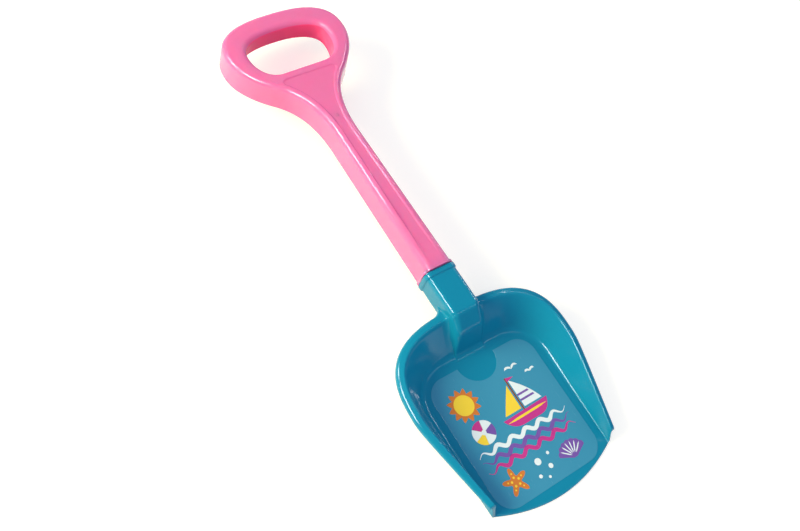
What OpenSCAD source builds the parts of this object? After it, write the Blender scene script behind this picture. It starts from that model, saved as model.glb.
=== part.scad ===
// Child's sand shovel in two mouldings and a film.
// The D-grip handle is an open-backed shell whose plug pushes into the socket of the scoop.
// The scoop is a thin-walled pan with a turned-down rim, and a printed film lies on its floor.
// X runs across, +Y from the blade to the grip, +Z up. The underside of the scoop is Z = 0.
// Lengths along the shovel are measured from the mouth of the socket.

/* [Grip] */
// Socket mouth to the top of the grip
grip_reach = 297; // [280:1:330]
// Width of the grip over its front
grip_w = 123; // [112:1:128]
// Top of the grip down to its widest point
grip_crown = 37; // [34:1:44]
// Squareness of the crown: 2 is an ellipse
crown_power = 2.6; // [2.2:0.1:3]
// Rounding of the grip's front edges
grip_r = 6.5; // [5:0.25:7]
// Thickness of the bar at the top
bar_top = 15.5; // [14.5:0.25:18]
// Thickness of the bar at the sides
bar_side = 17.5; // [14.5:0.25:19]
// Height of the hand hole
hole_h = 52.5; // [46:0.5:54]
// Squareness of the top of the hand hole: 2 is an ellipse
hole_power = 2.4; // [2.2:0.1:3]
// Straight lower edge of the hand hole
hole_flat = 42; // [36:1:54]
// Rounding of the lower edge of the hand hole
hole_edge_r = 3.5; // [2:0.25:5]

/* [Shaft] */
// Depth of the handle from its open back to its front
handle_d = 26; // [24:0.5:30]
// Rounding of the shaft's front edges
shaft_r = 4.5; // [3:0.25:5]
// How much wider each side wall is at the back than at the front
draft = 1; // [0.2:0.1:2]
// Width of the shaft at the mouth
shaft_w = 26; // [25:0.2:30]
// Width of the shaft at its neck
neck_w = 22.8; // [20:0.2:24]
// Lower edge of the hand hole down to the middle of the flare
flare_drop = 15; // [12:0.5:20]
// Middle of the flare down to the neck
neck_drop = 64; // [54:1:84]
// Half width in the middle of the flare
flare_half = 34.5; // [33:0.5:39]
// Lean of the flare from the X axis, in degrees
flare_lean = 42; // [36:1:48]
// Wall of the handle
handle_wall = 2.5; // [2.2:0.1:3]
// Depth of the panel sunk into the front
panel_sink = 1.2; // [0.6:0.1:1.6]
// Rim left between the panel and the edge of the handle
panel_rim = 7; // [6:0.25:8]
// Rounding of the panel's upper corners
panel_r = 7; // [4:0.5:9]
// Socket mouth to the lower end of the panel
panel_start = 16; // [10:1:40]
// Web left between the panel and the hand hole
panel_web = 8; // [6:0.5:11]
// Spacing of the ribs behind the shaft
rib_pitch = 34; // [24:1:48]
// Thickness of the ribs
rib_t = 1.6; // [1.2:0.1:2.4]
// How far the ribs stop short of the open back
rib_sink = 5; // [2:0.5:10]

/* [Socket] */
// Height of the plug's underside above the floor
plug_z = 19.8; // [16.5:0.1:22.5]
// How far the plug's underside lies above the open back of the shaft
plug_up = 0.5; // [0.3:0.1:2]
// Height of the plug
plug_h = 19.8; // [17:0.1:21.5]
// Width of the plug
plug_w = 24; // [20:0.2:24.6]
// Length of the plug
plug_len = 40; // [34:1:44]
// Rounding of the plug's corners
plug_r = 2; // [1:0.25:2]
// Clearance on every side of the plug
fit_gap = 0.3; // [0.2:0.05:0.5]
// Room left beyond the end of the plug
end_room = 2; // [1:0.5:3]
// Wall of the socket
socket_wall = 2.3; // [2:0.1:3]
// Length of the bead round the mouth
bead_len = 5; // [3:0.5:8]
// How far the bead stands out
bead_out = 1.2; // [0.6:0.1:1.6]
// Thickness of the stop plate that closes the shaft and seats on the mouth
stop_len = 3; // [2:0.5:6]
// How far the stop plate lies inside the outline of the bead
stop_in = 0.4; // [0.2:0.1:1]
// End of the bore to the start of the nose's slope
nose_room = 0.8; // [0.6:0.1:2]
// Length of the nose's slope along the shovel
nose_run = 13.2; // [11:0.2:14]
// Drop of the nose's slope
nose_drop = 12.2; // [9:0.2:13]
// Rounding of the edges of the nose's slope
nose_r = 3; // [1:0.25:4]
// How far the nose's foot lies in front of the rear edge of the floor
nose_toe = 1.3; // [1:0.1:3]

/* [Scoop] */
// Socket mouth to the tip of the blade
tip_reach = 205; // [198:1:230]
// Socket mouth to the rear edge of the rim
rim_rear = 32; // [28:1:38]
// Socket mouth to the widest point of the rim
rim_widest = 97; // [88:1:104]
// Width over the rim at its widest
rim_w = 168.5; // [156:0.5:180]
// Width over the rim at the front
rim_front_w = 133; // [131:0.2:146]
// Squareness of the rear of the rim: 2 is an ellipse
rim_power = 2.85; // [2.4:0.05:3.2]
// Height of the rim at the rear
rim_h = 31.5; // [28:0.1:35]
// Height of the rim at the front
rim_front_h = 17.2; // [12:0.1:20]
// Width of the rim's flat at the rear
rim_flat = 7.5; // [5:0.5:9]
// Width of the rim's flat at the front
rim_front_flat = 3; // [2.8:0.1:4]
// Turned-down edge of the rim at the rear
rim_skirt = 4.5; // [3:0.1:6]
// Turned-down edge of the rim at the front
rim_front_skirt = 3; // [2.9:0.1:4]
// Rounding of the rim's outer edge at the rear
rim_r = 1.6; // [0.6:0.1:1.8]
// Rounding of the fold between rim and wall at the rear
fold_r = 3; // [1:0.25:3]
// Rounding between wall and floor at the rear
foot_r = 5; // [2:0.25:5]
// Rounding between wall and floor at the front
foot_front_r = 0.8; // [0.6:0.1:2]
// Socket mouth to the rear edge of the floor
floor_rear = 64; // [62:0.5:68]
// Width of the floor at the rear
floor_w = 126; // [118:1:128]
// How much narrower the floor is at the front
floor_taper = 3; // [0:0.5:10]
// Radius of the rear corners of the floor
floor_r = 34; // [30:1:40]
// How far the front corners lie behind the tip
front_bow = 14.5; // [8:0.5:18]
// Thickness of the pan
pan_t = 2.2; // [1.8:0.1:2.6]
// How far the top of each cheek lies behind the front edge
cheek_back = 4.3; // [0:0.1:8]
// Rounding of the upper front corners
cheek_r = 1.6; // [1:0.1:8]

/* [Film] */
// Gap between the film and each side of the floor at the front
film_side_gap = 7.5; // [6.5:0.5:20]
// Gap between the film and the tip of the blade
film_front_gap = 10; // [6:0.5:20]
// Gap between the film and the rear edge of the floor
film_rear_gap = 11; // [10:0.5:30]
// Radius of the corners of the film
film_r = 17; // [8:0.5:24]
// Radius of the cut-out in front of the nose
film_cut_r = 19; // [12:0.5:26]
// Thickness of the film
film_t = 0.2; // [0.1:0.05:0.4]

/* [Hidden] */
$fn = 48;
// Overrun of every cut past the face that it opens
cut = 1;

// The row's origin is under the middle of the shovel, so the mouth lies a little behind it.
mouth_y = (tip_reach - grip_reach - draft) / 2;

// The socket is built round the plug.
bore_h = plug_h + 2 * fit_gap;
bore_w = plug_w + 2 * fit_gap;
bore_r = plug_r + fit_gap;
bore_len = plug_len + end_room;
socket_h = bore_h + 2 * socket_wall;
socket_w = bore_w + 2 * socket_wall;
socket_r = bore_r + socket_wall;
socket_z = plug_z - fit_gap - socket_wall;
socket_top = socket_z + socket_h;
bead_w = socket_w + 2 * bead_out;
bead_h = socket_h + 2 * bead_out;

// Curves

// One quarter of a superellipse, from [0, b] to [a, 0]
function bow(a, b, power, steps) =
    [for (i = [0:steps]) let (t = 90 * i / steps)
        [a * pow(sin(t), 2 / power), b * pow(cos(t), 2 / power)]];

// A cubic curve without its first point
function bend(p0, p1, p2, p3, steps) =
    [for (i = [1:steps]) let (t = i / steps, u = 1 - t)
        u * u * u * p0 + 3 * u * u * t * p1 + 3 * u * t * t * p2 + t * t * t * p3];

// A round arc about a centre
function arc(centre, r, from, to, steps) =
    [for (i = [0:steps]) let (a = from + (to - from) * i / steps)
        centre + r * [cos(a), sin(a)]];

function unit(v) = v / norm(v);
function mixed(a, b, t) = a * (1 - t) + b * t;

// A gentle step from 0 to 1
function ease(t) = let (u = min(max(t, 0), 1)) u * u * (3 - 2 * u);

// Unit vector to the left of a path at point i, square to the axes at its two ends
function left_of(path, i) =
    let (last = len(path) - 1, t = unit(path[min(i + 1, last)] - path[max(i - 1, 0)]))
    i > 0 && i < last ? [-t[1], t[0]] :
    abs(t[0]) > abs(t[1]) ? [0, sign(t[0])] : [-sign(t[1]), 0];

// A half outline that runs clockwise, moved outward by d, or by its own d at each point
function moved(path, d) =
    [for (i = [0:len(path) - 1]) path[i] + (is_list(d) ? d[i] : d) * left_of(path, i)];

// A right half outline closed with its mirror image
function flipped(p) = len(p) == 3 ? [-p[0], p[1], p[2]] : [-p[0], p[1]];
function whole(path) =
    concat(path, [for (i = [len(path) - 1:-1:0]) if (path[i][0] > 0.001) flipped(path[i])]);

// A closed ring of points at one height, or at its own height for each point of the half outline
function ring(path, z) =
    whole([for (i = [0:len(path) - 1]) [path[i][0], path[i][1], is_list(z) ? z[i] : z]]);

// Rings that round an edge at height z: the outline moves by side times what a quarter circle leaves
function rounding(path, radii, z, side) =
    [for (k = [0:round_steps]) let (a = 90 * k / round_steps)
        ring(moved(path, side * (1 - cos(a)) * radii), [for (r = radii) z - r * (1 - sin(a))])];

// A solid through mirrored rings of equal length, closed by strips that run from side to side
module loft(rings) {
    count = len(rings[0]);
    last = len(rings) - 1;
    sides = [for (k = [0:last - 1], i = [0:count - 1])
        let (j = (i + 1) % count, a = k * count, b = a + count)
        each [[a + i, a + j, b + j], [a + i, b + j, b + i]]];
    strips = concat([[0, 1, count - 1]],
        [for (i = [1:(count - 3) / 2]) [i, i + 1, count - i - 1, count - i]]);
    foot = [for (f = strips) [for (i = [len(f) - 1:-1:0]) f[i]]];
    head = [for (f = strips) [for (i = f) last * count + i]];
    polyhedron(points = [for (r = rings) each r], faces = concat(foot, sides, head), convexity = 8);
}

// A rectangle with round corners, standing on the X axis
module rounded_bar(w, h, r) {
    translate([-w / 2, r]) square([w, h - 2 * r]);
    translate([-w / 2 + r, 0]) square([w - 2 * r, h]);
    for (x = [-w / 2 + r, w / 2 - r], y = [r, h - r]) translate([x, y]) circle(r);
}

// A bar of that section along the shovel, between two distances from the mouth
module along(from, to, z, w, h, r) {
    translate([0, to, z]) rotate([90, 0, 0]) linear_extrude(to - from) rounded_bar(w, h, r);
}

// Handle

widest_y = grip_reach - grip_crown;
hole_top = grip_reach - bar_top;
hole_low = hole_top - hole_h;
hole_w = grip_w - 2 * bar_side;
flare_reach = hole_low - flare_drop;
neck_reach = flare_reach - neck_drop;
flare_mid = [flare_half, flare_reach];
flare_dir = [cos(flare_lean), sin(flare_lean)];
// How far each curve of the outline holds its first and last direction
flare_hold = 18;
web_hold = 22;
neck_hold = 28;
hole_hold = 15;
// The shell starts just above the face of the stop plate
shell_start = fit_gap + stop_len / 10;
crown_steps = 14;
bend_steps = 10;
round_steps = 4;

// Right half of the grip and shaft at the front, from the crown to a distance from the mouth
function handle_half(end) =
    let (side = [grip_w / 2, widest_y], neck = [neck_w / 2, neck_reach])
    concat(
        [for (p = bow(grip_w / 2, grip_crown, crown_power, crown_steps)) [p[0], widest_y + p[1]]],
        bend(side, side - [0, flare_hold], flare_mid + flare_hold * flare_dir, flare_mid, bend_steps),
        bend(flare_mid, flare_mid - web_hold * flare_dir, neck + [0, neck_hold], neck, bend_steps),
        [[shaft_w / 2, end]]);

// Right half of the hand hole, from the middle of its top to its lower corner
function hole_half() =
    let (corner = [hole_flat / 2, hole_low], side = [hole_w / 2, widest_y])
    concat(
        [for (p = bow(hole_w / 2, hole_top - widest_y, hole_power, crown_steps)) [p[0], widest_y + p[1]]],
        bend(side, side - [0, hole_hold], corner + [hole_hold, 0], corner, bend_steps));

// Right half of the sunk panel, from the middle of its upper edge to its lower end
function panel_half() =
    let (top = hole_low - panel_web,
        edge = [for (p = moved(handle_half(0), -panel_rim))
            if (p[0] > 0 && p[1] >= neck_reach && p[1] < top - panel_r) p],
        corner = [edge[0][0] - panel_r / 2, top])
    concat([[0, top], corner],
        bend(corner, corner + [panel_r, 0], edge[0] + panel_r * flare_dir, edge[0], bend_steps),
        [for (i = [1:len(edge) - 1]) edge[i]],
        [[shaft_w / 2 - panel_rim, panel_start]]);

module handle_body() {
    path = handle_half(shell_start);
    radii = [for (p = path)
        mixed(shaft_r, grip_r, ease((p[1] - neck_reach) / (widest_y - neck_reach)))];
    loft(concat([ring(moved(path, draft), 0)], rounding(path, radii, handle_d, -1)));
}

module hand_hole() {
    path = hole_half();
    radii = [for (p = path)
        mixed(hole_edge_r, grip_r, ease((p[1] - hole_low) / (widest_y - hole_low)))];
    loft(concat([ring(path, -cut)], rounding(path, radii, handle_d, 1),
        [ring(moved(path, radii), handle_d + cut)]));
}

// Hollow of the shell: the outline less its wall, round the wall of the hand hole
module hollow_plan() {
    difference() {
        polygon(whole(moved(handle_half(shell_start - cut), -handle_wall)));
        polygon(whole(moved(hole_half(), handle_wall)));
    }
}

// Ribs across the shaft and round the grip, the latter between two angles
grip_ribs = 6;
rib_from = -20;
rib_to = 200;
module rib_plan() {
    for (y = [rib_pitch:rib_pitch:flare_reach]) translate([-grip_w / 2, y]) square([grip_w, rib_t]);
    for (k = [0:grip_ribs - 1])
        translate([0, widest_y]) rotate(mixed(rib_from, rib_to, k / (grip_ribs - 1)))
            translate([0, -rib_t / 2]) square([grip_w, rib_t]);
}

module handle() {
    // the hollow ends below the rounded front edges
    hollow_d = handle_d - handle_wall - panel_sink - (grip_r - shaft_r);
    color("hotpink") translate([0, mouth_y, plug_z - plug_up]) {
        difference() {
            handle_body();
            hand_hole();
            difference() {
                translate([0, 0, -cut]) linear_extrude(hollow_d + cut) hollow_plan();
                translate([0, 0, rib_sink]) linear_extrude(handle_d) rib_plan();
            }
            translate([0, 0, handle_d - panel_sink])
                linear_extrude(panel_sink + cut) polygon(whole(panel_half()));
        }
        // the stop plate has the outline of the bead, a little smaller
        translate([0, 0, plug_up - plug_z])
            along(fit_gap, fit_gap + stop_len, socket_z - bead_out + stop_in,
                bead_w - 2 * stop_in, bead_h - 2 * stop_in, socket_r + bead_out - stop_in);
        // plug, open at the back like the rest of the shell
        difference() {
            along(-plug_len, fit_gap + cut, plug_up, plug_w, plug_h, plug_r);
            translate([-plug_w / 2 + handle_wall, -plug_len + handle_wall, -cut])
                cube([plug_w - 2 * handle_wall, plug_len - handle_wall, plug_up + plug_h - handle_wall + cut]);
        }
    }
}

// Scoop

corner_steps = 20;
side_steps = 10;
cheek_steps = 4;
front_steps = 16;
// Share of the corner stations that lie on the straight rear edge of the floor
rear_share = 0.45;
floor_turn = floor_rear + floor_r;
floor_front_w = floor_w - floor_taper;
// How soon each side of the rim runs straight to the front
side_turn = 0.12;

// The front edge is one bow in plan, from the tip back to the cheeks
function front_at(x) = [x, -tip_reach + front_bow * pow(2 * x / floor_front_w, 2)];
cheek_top = front_at(rim_front_w / 2) + [0, cheek_back];

// A straight run from 0 to 1 with a level start
function lead(t) = (norm([t, side_turn]) - side_turn) / (norm([1, side_turn]) - side_turn);

// Plan points of station s: 0 is the middle of the rear, 1 the end of the corner, 2 the front
function rim_at(s) =
    s > 1 ? [mixed(rim_w / 2, cheek_top[0], lead(s - 1)), mixed(-rim_widest, cheek_top[1], s - 1)] :
    [rim_w / 2 * pow(sin(90 * s), 2 / rim_power),
        -rim_widest + (rim_widest - rim_rear) * pow(cos(90 * s), 2 / rim_power)];
function floor_at(s) =
    s > 1 ? mixed([floor_w / 2, -floor_turn], front_at(floor_front_w / 2), s - 1) :
    s <= rear_share ? [(floor_w / 2 - floor_r) * s / rear_share, -floor_rear] :
    let (a = 90 * (1 - s) / (1 - rear_share))
    [floor_w / 2 - floor_r, -floor_turn] + floor_r * [cos(a), sin(a)];

function placed(p, z) = [p[0], p[1], z];

// Run of the wall's outside beyond its inside, and thickness of the turned-down edge
wall_run = 0.9 * pan_t;
skirt_share = 0.8;
skirt_room = 0.6;
// Share of the wall that the rounding at its foot may take
foot_share = 0.4;

// Three points that round a corner between two points next to it
function soft(a, corner, b) = [a, (a + 2 * corner + b) / 4, b];

// Section of the wall at station s, from the floor over the rim and back down outside.
// The rim falls evenly from the rear to the front, and by a further drop at the cheeks.
function wall_section(s, drop) =
    let (foot = floor_at(s), edge = rim_at(s), out = s > 1 ? [1, 0] : unit(edge - foot),
        t = (-edge[1] - rim_rear) / (-cheek_top[1] - rim_rear),
        rise = mixed(rim_h, rim_front_h, t), flat = mixed(rim_flat, rim_front_flat, t),
        skirt = mixed(rim_skirt, rim_front_skirt, t), height = rise - drop, k = flat / rim_flat,
        fold = mixed(foot, edge - flat * out, (height - pan_t) / (rise - pan_t)), rim = fold + flat * out,
        lip = min(skirt_share * pan_t, skirt_room * (flat - wall_run)),
        over = placed(out, 0), low = placed(foot, pan_t), top = placed(fold, height),
        side = placed(rim, height), up = unit(top - low),
        turn = min(mixed(foot_r, foot_front_r, max(s - 1, 0)), foot_share * norm(top - low)))
    concat(
        soft(low - turn * over, low, low + turn * up),
        soft(top - k * fold_r * up, top, top + k * fold_r * over),
        soft(side - k * rim_r * over, side, side - [0, 0, k * rim_r]),
        [side - [0, 0, skirt], side - lip * over - [0, 0, skirt],
         side - lip * over - [0, 0, pan_t],
         placed(fold + wall_run * out, height - pan_t),
         placed(foot + wall_run * out, 0)]);

// The cheeks are rounded off over the last stations
cheek_share = cheek_r / norm(rim_at(2) - rim_at(1));
right_sections = concat(
    [for (i = [0:corner_steps]) wall_section(i / corner_steps, 0)],
    [for (i = [1:side_steps]) wall_section(1 + (1 - cheek_share) * i / side_steps, 0)],
    [for (i = [1:cheek_steps]) let (a = 90 * i / cheek_steps)
        wall_section(2 - cheek_share * (1 - sin(a)), cheek_r * (1 - cos(a)))]);

module pan() {
    last = len(right_sections) - 1;
    sections = concat([for (i = [last:-1:1]) [for (p = right_sections[i]) flipped(p)]], right_sections);
    count = len(sections);
    size = len(sections[0]);
    wall_points = [for (section = sections) each section];
    front_x = [for (i = [front_steps - 1:-1:1]) floor_front_w * (i / front_steps - 0.5)];
    upper = [for (x = front_x) placed(front_at(x), pan_t)];
    lower = [for (x = front_x) placed(front_at(x), 0)];
    upper_at = len(wall_points);
    lower_at = upper_at + len(upper);
    middle_at = lower_at + len(lower);
    middle = [0, -(floor_rear + tip_reach) / 2];
    strips = [for (k = [0:count - 2], j = [0:size - 2])
        let (a = k * size + j, b = a + size) each [[a, b + 1, b], [a, a + 1, b + 1]]];
    left_cap = [for (j = [size - 1:-1:0]) j];
    right_cap = [for (j = [0:size - 1]) (count - 1) * size + j];
    upper_loop = concat([for (k = [0:count - 1]) k * size],
        [for (i = [0:len(upper) - 1]) upper_at + i], [0]);
    lower_loop = concat([for (k = [0:count - 1]) k * size + size - 1],
        [for (i = [0:len(lower) - 1]) lower_at + i], [size - 1]);
    floor_fans = [for (i = [0:len(upper_loop) - 2])
        each [[middle_at, upper_loop[i], upper_loop[i + 1]],
            [middle_at + 1, lower_loop[i + 1], lower_loop[i]]]];
    front = [for (i = [count - 1:len(upper_loop) - 2])
        each [[upper_loop[i], lower_loop[i], lower_loop[i + 1]],
            [upper_loop[i], lower_loop[i + 1], upper_loop[i + 1]]]];
    polyhedron(points = concat(wall_points, upper, lower, [placed(middle, pan_t), placed(middle, 0)]),
        faces = concat(strips, [left_cap, right_cap], floor_fans, front), convexity = 8);
}

// The socket is a bar that runs over the rear wall and ends in a sloping nose inside the pan.
// A keel carries the nose down to the floor.
keel_inset = 0.4;
nose_from = bore_len + nose_room;
nose_top = [-nose_from, socket_top];
nose_edge = nose_top - [nose_run, nose_drop];
nose_foot = [-floor_rear - nose_toe, pan_t / 2];
slope_way = unit(nose_edge - nose_top);
front_way = unit(nose_foot - nose_edge);
nose_line = concat(
    soft(nose_top + [nose_r, 0], nose_top, nose_top + nose_r * slope_way),
    soft(nose_edge - nose_r * slope_way, nose_edge, nose_edge + nose_r * front_way));
// Line inside the rear wall, from its fold down to the floor
wall_top = [-rim_rear - rim_flat, rim_h - pan_t];
wall_foot = [-floor_rear, pan_t / 2];

// The point at height z on a line in the side view
function at_height(a, b, z) = mixed(a, b, (z - a[1]) / (b[1] - a[1]));

// A plate standing along the middle of the shovel, from its side view
module side_plate(points, w) {
    translate([-w / 2, 0, 0]) rotate([90, 0, 90]) linear_extrude(w) polygon(points);
}

module socket_bar() {
    intersection() {
        along(-tip_reach, 0, socket_z, socket_w, socket_h, socket_r);
        side_plate(concat([[cut, -cut], [cut, socket_top + cut], [nose_line[0][0], socket_top + cut]],
            nose_line, [nose_foot, [nose_foot[0], -cut]]), 2 * socket_w);
    }
}

module keel() {
    head = socket_z + socket_r;
    inset = [keel_inset, 0];
    side_plate([at_height(wall_top, wall_foot, head),
        at_height(nose_edge, nose_foot, head) + inset,
        nose_foot + inset, wall_foot], socket_w - 2 * keel_inset);
}

module scoop() {
    color("darkturquoise") translate([0, mouth_y, 0]) difference() {
        union() {
            pan();
            socket_bar();
            keel();
            along(-bead_len, 0, socket_z - bead_out, bead_w, bead_h, socket_r + bead_out);
        }
        along(-bore_len, cut, plug_z - fit_gap, bore_w, bore_h, bore_r);
    }
}

// Film

film_w = floor_front_w - 2 * film_side_gap;
film_len = tip_reach - film_front_gap - floor_rear - film_rear_gap;

module film_plan() {
    y = -tip_reach + film_front_gap;
    difference() {
        union() {
            translate([-film_w / 2 + film_r, y]) square([film_w - 2 * film_r, film_len]);
            translate([-film_w / 2, y + film_r]) square([film_w, film_len - 2 * film_r]);
            for (x = [-film_w / 2 + film_r, film_w / 2 - film_r], k = [film_r, film_len - film_r])
                translate([x, y + k]) circle(film_r);
        }
        translate([0, y + film_len]) circle(film_cut_r);
    }
}

module print_film() {
    color("skyblue") translate([0, mouth_y, pan_t]) linear_extrude(film_t) film_plan();
}

handle();
scoop();
print_film();
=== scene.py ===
from math import asin, cos, degrees, hypot, pi, radians, sin, sqrt

import bmesh
import bpy
from mathutils import Matrix, Vector


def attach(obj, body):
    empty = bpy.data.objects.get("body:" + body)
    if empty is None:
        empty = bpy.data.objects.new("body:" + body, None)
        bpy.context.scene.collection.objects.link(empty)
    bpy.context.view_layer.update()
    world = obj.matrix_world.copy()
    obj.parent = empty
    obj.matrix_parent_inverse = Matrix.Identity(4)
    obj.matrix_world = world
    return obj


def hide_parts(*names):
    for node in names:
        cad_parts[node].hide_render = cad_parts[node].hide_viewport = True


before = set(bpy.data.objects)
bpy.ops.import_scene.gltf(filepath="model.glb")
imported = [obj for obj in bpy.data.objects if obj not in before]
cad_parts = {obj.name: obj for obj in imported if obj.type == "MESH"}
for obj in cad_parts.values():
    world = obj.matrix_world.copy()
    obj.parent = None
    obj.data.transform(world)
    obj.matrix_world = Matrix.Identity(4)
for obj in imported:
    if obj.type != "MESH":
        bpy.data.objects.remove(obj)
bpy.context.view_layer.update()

# Scoop
# The pan and its socket are one injection moulding in glossy teal plastic, about 2 mm thick.
# The walls flare from a flat floor to a rim whose edge is turned down. The socket runs over
# the rear wall and ends in a sloping nose, with soft fillets where the mould was rounded.

# Sizes are in millimetres, and lengths along the shovel are measured from the socket's mouth.
mouth_y = -46.5
to_metres = Matrix.Scale(0.001, 4) @ Matrix.Translation((0, mouth_y, 0))
up = Vector((0, 0, 1))

tip_reach = 205
rim_rear = 32
rim_widest = 97
rim_w = 168.5
rim_front_w = 133
rim_power = 2.85
rim_h = 31.5
rim_front_h = 17.2
rim_flat = 7.5
rim_front_flat = 5
rim_skirt = 4.5
rim_front_skirt = 3
rim_round = 3.2
rim_droop = 2.6
fold_round = 4.6
fold_crease = 1.6
foot_round = 6
foot_front_round = 1.4
floor_rear = 64
floor_w = 126
floor_front_w = 123
floor_r = 34
front_bow = 14.5
pan_t = 2.2
wall_run = 2
cheek_back = 4.3
cheek_r = 1.6
side_turn = 0.12
heel_round = 2.5
# Roundings of rim and wall, as shares of what they stand on
lip_share = 0.8
lip_most = 0.6
hollow_share = 0.4
hem_share = 0.3
edge_most = 0.6
wall_most = 0.4
fold_front_share = 0.7
foot_pace = 1.2
fold_pace = 3

socket_w = 29.2
socket_h = 25
socket_z = 17.2
socket_r = 4.6
socket_top = socket_z + socket_h
bore_w = 24.6
bore_h = 20.4
bore_r = 2.3
bore_len = 42
rim_web = 8.5
nose_back = 26.3
nose_level = 36
nose_from = 42.8
nose_run = 13.2
nose_drop = 12.2
nose_foot = 65.3
nose_top_round = 3
nose_low_round = 4.5
nose_side_r = 9.5
nose_fillet = 6.5
nose_below = 1.9
wall_bow = 0.4


# Part of the way from one value or point to another
def mix(a, b, t):
    return a * (1 - t) + b * t


# The way from zero to one with a soft start and a soft end
def ease(t):
    t = min(max(t, 0), 1)
    return t * t * (3 - 2 * t)


# A point of the plan
def flat_point(x, v):
    return Vector((x, v, 0))


# A rounded corner between two points next to it
def bend(a, corner, b, steps=8):
    points = []
    for i in range(steps + 1):
        t = i / steps
        points.append(a * (1 - t) ** 2 + corner * 2 * t * (1 - t) + b * t * t)
    return points


# One quarter of a superellipse, from (0, b) to (a, 0)
def quarter_bow(a, b, power, steps):
    points = []
    for i in range(steps + 1):
        turn = pi / 2 * i / steps
        points.append(flat_point(a * sin(turn) ** (2 / power), b * max(cos(turn), 0) ** (2 / power)))
    return points


# Points at given shares of the length of a polyline
def at_shares(points, shares):
    lengths = [0]
    for a, b in zip(points, points[1:]):
        lengths.append(lengths[-1] + (b - a).length)
    result = []
    k = 0
    for share in shares:
        goal = lengths[-1] * share
        while k < len(points) - 2 and lengths[k + 1] < goal:
            k += 1
        span = lengths[k + 1] - lengths[k]
        result.append(mix(points[k], points[k + 1], (goal - lengths[k]) / span))
    return result


# The same line in equal steps
def evened(points, count):
    return at_shares(points, [i / count for i in range(count + 1)])


# Even steps strictly between two ends
def between(a, b, steps=4):
    return [mix(a, b, k / steps) for k in range(1, steps)]


# The mirror image of a point on the other side of the shovel
def flipped(point):
    return Vector((-point.x, point.y, point.z))


# Faces between rings of equal length
def skin(bm, rings, closed=True):
    rows = [[bm.verts.new(p) for p in ring] for ring in rings]
    count = len(rows[0])
    for a, b in zip(rows, rows[1:]):
        for i in range(count if closed else count - 1):
            j = (i + 1) % count
            bm.faces.new((a[i], a[j], b[j], b[i]))
    return rows


def cap(bm, row):
    bm.faces.new(row)


# A closed body from rings of equal length
def closed_skin(bm, rings):
    rows = skin(bm, rings)
    cap(bm, rows[0])
    cap(bm, rows[-1])


# A flat face with holes between closed rows of points
def fill_between(bm, *rows):
    edges = []
    for row in rows:
        for i, vert in enumerate(row):
            pair = (vert, row[i - 1])
            edges.append(bm.edges.get(pair) or bm.edges.new(pair))
    bmesh.ops.triangle_fill(bm, edges=edges, use_beauty=True, use_dissolve=False)


# A finished piece in the frame of the CAD model, smooth except at real corners
def add_piece(name, bm, materials, sharp=38):
    bmesh.ops.recalc_face_normals(bm, faces=bm.faces)
    bm.transform(to_metres)
    mesh = bpy.data.meshes.new(name)
    bm.to_mesh(mesh)
    bm.free()
    mesh.shade_smooth()
    mesh.set_sharp_from_angle(angle=radians(sharp))
    piece = bpy.data.objects.new(name, mesh)
    for material in materials:
        mesh.materials.append(material)
    bpy.context.scene.collection.objects.link(piece)
    weigh = piece.modifiers.new("even_shading", "WEIGHTED_NORMAL")
    weigh.keep_sharp = True
    return piece


# A point of the floor's front edge, which bows forward in the middle
def front_at(x):
    return flat_point(x, -tip_reach + front_bow * (2 * x / floor_front_w) ** 2)


# Share of a side's way in towards the front, with a soft start
def lead(t):
    return (hypot(t, side_turn) - side_turn) / (hypot(1, side_turn) - side_turn)


# Plan of the rim's outer edge, and of the line where the wall meets the floor
side_count = 24
cheek_count = 5
corner_count = 52
turn_count = 48
web_count = 10
floor_turn = floor_rear + floor_r
cheek_top = front_at(rim_front_w / 2) + flat_point(0, cheek_back)
rim_corner = [p - flat_point(0, rim_widest)
              for p in quarter_bow(rim_w / 2, rim_widest - rim_rear, rim_power, steps=400)]
floor_corner = [flat_point(0, -floor_rear)]
turn_x = floor_w / 2 - floor_r
for i in range(turn_count + 1):
    turn = pi / 2 * (1 - i / turn_count)
    floor_corner.append(flat_point(turn_x + floor_r * cos(turn), -floor_turn + floor_r * sin(turn)))
# Sections stand close together where the rim's edge swells next to the socket
rim_length = sum((b - a).length for a, b in zip(rim_corner, rim_corner[1:]))
web_end = socket_w / 2 + rim_web
behind_socket = [0, 6, 11, 14]
marks = behind_socket + [web_end - rim_web * cos(pi / 2 * k / web_count) for k in range(web_count + 1)]
marks += [mix(web_end, rim_length, k / corner_count) for k in range(1, corner_count + 1)]
shares = [mark / rim_length for mark in marks]
rim_corner = at_shares(rim_corner, shares)
floor_corner = at_shares(floor_corner, shares)


# How far the rim's edge swells back next to the socket, where a web joins them
def web_swell(x):
    into = max(0, min(rim_web, rim_web - (x - socket_w / 2)))
    return rim_web - sqrt(rim_web ** 2 - into ** 2)


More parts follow.
